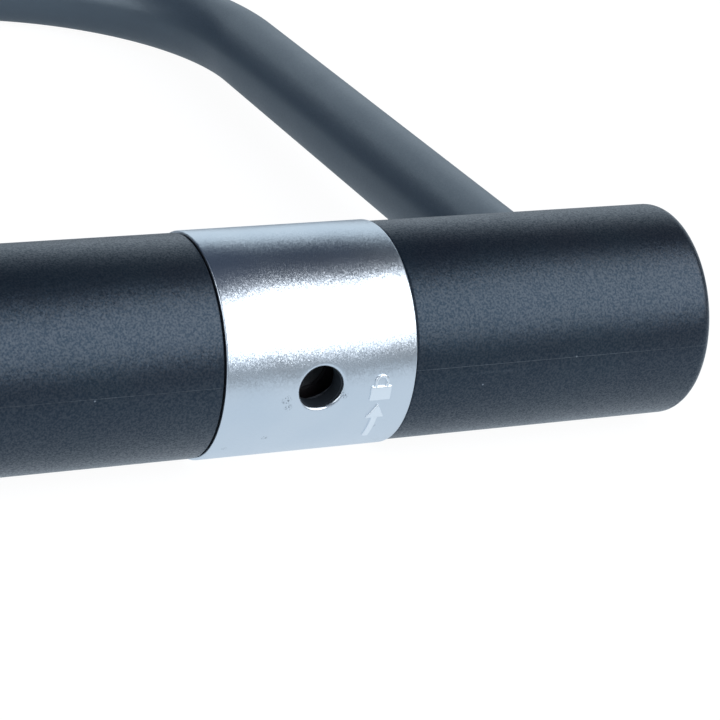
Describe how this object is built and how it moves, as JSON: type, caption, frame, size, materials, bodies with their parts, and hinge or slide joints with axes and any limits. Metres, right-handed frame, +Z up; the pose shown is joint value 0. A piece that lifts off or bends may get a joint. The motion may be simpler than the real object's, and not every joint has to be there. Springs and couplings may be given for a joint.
{
  "type": "u lock",
  "caption": "Bicycle U lock: coated round shackle in a black crossbar with a silver keyhole band; a central disc cylinder drives bolts into both feet.",
  "frame": {"origin": "middle of the bounding box at the surface the lock lies on", "axes": "+X along the crossbar to the right seen from the keyhole side, +Z up from the surface; the legs run from the crossbar towards +Y and slope down to the crown by about 3 degrees, because the lock lies on its band and on the crown"},
  "size_m": [0.176, 0.2771, 0.045],
  "materials": {
    "crossbar_steel": "plain",
    "satin_steel": "satin, fine blasted",
    "black_plastic": "matt",
    "sleeve_black": "fine textured, satin",
    "seal_rubber": "matt",
    "cast_zinc": "cast, dull",
    "brass": "turned",
    "hardened_steel": "dark, ground",
    "plated_steel": "zinc plated",
    "coating": "soft touch, satin"
  },
  "bodies": {
    "crossbar": {"crossbar_tube": "crossbar_steel", "keyhole_band": "satin_steel", "band_liner": "black_plastic", "keyhole_bush": "black_plastic", "left_sleeve": "sleeve_black", "right_sleeve": "sleeve_black", "left_end_plug": "crossbar_steel", "right_end_plug": "crossbar_steel", "left_foot_socket": "plated_steel", "right_foot_socket": "plated_steel", "socket_pins": "hardened_steel", "left_spacer_tube": "plated_steel", "right_spacer_tube": "plated_steel", "left_foot_seal": "seal_rubber", "right_foot_seal": "seal_rubber", "lock_carrier": "cast_zinc", "carrier_pins": "hardened_steel", "housing_screw": "hardened_steel", "cylinder_housing": "brass"},
    "shackle": {"shackle_bar": "crossbar_steel", "shackle_coating": "coating", "left_foot_collar": "black_plastic", "right_foot_collar": "black_plastic"},
    "core": {"plug_core": "brass", "drill_plate": "hardened_steel", "detainer_discs": "brass", "spacer_washers": "plated_steel", "sidebar": "hardened_steel", "drive_cam": "plated_steel", "cam_screw": "hardened_steel"},
    "left_bolt": {"left_bolt": "plated_steel"},
    "right_bolt": {"right_bolt": "plated_steel"}
  },
  "joints": [
    {"name": "shackle_lift", "type": "slide", "parent": "crossbar", "child": "shackle", "axis": [0, 0.9986, -0.0527], "range_m": [0, 0.06]},
    {"name": "core_turn", "type": "hinge", "parent": "crossbar", "child": "core", "pos_m": [0, -0.11571, 0.0225], "axis": [0, 1, -0.009], "range_deg": [0, 90]},
    {"name": "right_bolt_throw", "type": "slide", "parent": "crossbar", "child": "right_bolt", "axis": [1, 0, 0], "range_m": [0, 0.008]},
    {"name": "left_bolt_throw", "type": "slide", "parent": "crossbar", "child": "left_bolt", "axis": [-1, 0, 0], "range_m": [0, 0.008]}
  ],
  "couplings": [
    {"joint": "core_turn", "follows": "right_bolt_throw", "rad_per_m": 196.35},
    {"joint": "left_bolt_throw", "follows": "right_bolt_throw", "ratio": 1}
  ]
}
